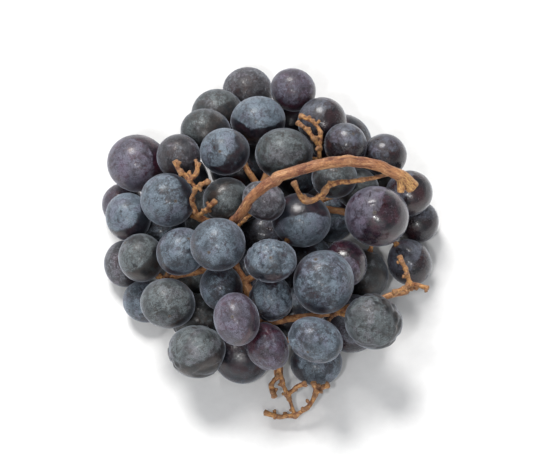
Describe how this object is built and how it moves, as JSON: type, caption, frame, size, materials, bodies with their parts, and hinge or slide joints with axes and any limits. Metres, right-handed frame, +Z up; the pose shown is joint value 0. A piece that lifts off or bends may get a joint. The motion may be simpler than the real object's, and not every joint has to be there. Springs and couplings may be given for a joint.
{
  "type": "bunch of grapes",
  "caption": "Bunch of dark blue-black grapes with a dusty bloom, lying down, its arched cut stalk rising over the berries and bare orange-brown sprigs between them.",
  "frame": {"origin": "on the resting surface, under the middle of the bunch's overall box", "axes": "+Z up from the surface the bunch lies on; -Y towards the free tip of the bunch and the side it is seen from; +X to the viewer's right, where the cut end of the stalk is"},
  "size_m": [0.1122, 0.1288, 0.0583],
  "materials": {
    "stem": "dry tan to reddish brown stalk bark, matte",
    "berry_bloom": "blue-black skin under grey-blue waxy bloom, matte",
    "berry_purple": "reddish purple skin under thin bloom, soft sheen",
    "berry_rubbed": "bloom rubbed off, purple-black and glossier"
  },
  "bodies": {
    "root": {"stem": "stem", "berry_01": "berry_purple", "berry_02": "berry_bloom", "berry_03": "berry_bloom", "berry_04": "berry_bloom", "berry_05": "berry_bloom", "berry_06": "berry_bloom", "berry_07": "berry_bloom", "berry_08": "berry_purple", "berry_09": "berry_bloom", "berry_10": "berry_bloom", "berry_11": "berry_bloom", "berry_12": "berry_purple", "berry_13": "berry_rubbed", "berry_14": "berry_bloom", "berry_15": "berry_rubbed", "berry_16": "berry_rubbed", "berry_17": "berry_rubbed", "berry_18": "berry_bloom", "berry_19": "berry_purple", "berry_20": "berry_bloom", "berry_21": "berry_bloom", "berry_22": "berry_purple", "berry_23": "berry_bloom", "berry_24": "berry_rubbed", "berry_25": "berry_bloom", "berry_26": "berry_bloom", "berry_27": "berry_bloom", "berry_28": "berry_bloom", "berry_29": "berry_bloom", "berry_30": "berry_bloom", "berry_31": "berry_bloom", "berry_32": "berry_bloom", "berry_33": "berry_bloom", "berry_34": "berry_bloom", "berry_35": "berry_bloom", "berry_36": "berry_bloom", "berry_37": "berry_purple", "berry_38": "berry_rubbed", "berry_39": "berry_bloom", "berry_40": "berry_rubbed", "berry_41": "berry_bloom", "berry_42": "berry_bloom", "berry_43": "berry_bloom", "berry_44": "berry_bloom", "berry_45": "berry_bloom", "berry_46": "berry_bloom", "berry_47": "berry_bloom", "berry_48": "berry_bloom", "berry_49": "berry_bloom", "berry_50": "berry_bloom", "berry_51": "berry_bloom", "berry_52": "berry_bloom", "berry_53": "berry_bloom", "berry_54": "berry_bloom", "berry_55": "berry_bloom", "berry_56": "berry_bloom", "berry_57": "berry_bloom", "berry_58": "berry_bloom", "berry_59": "berry_bloom"}
  },
  "joints": []
}
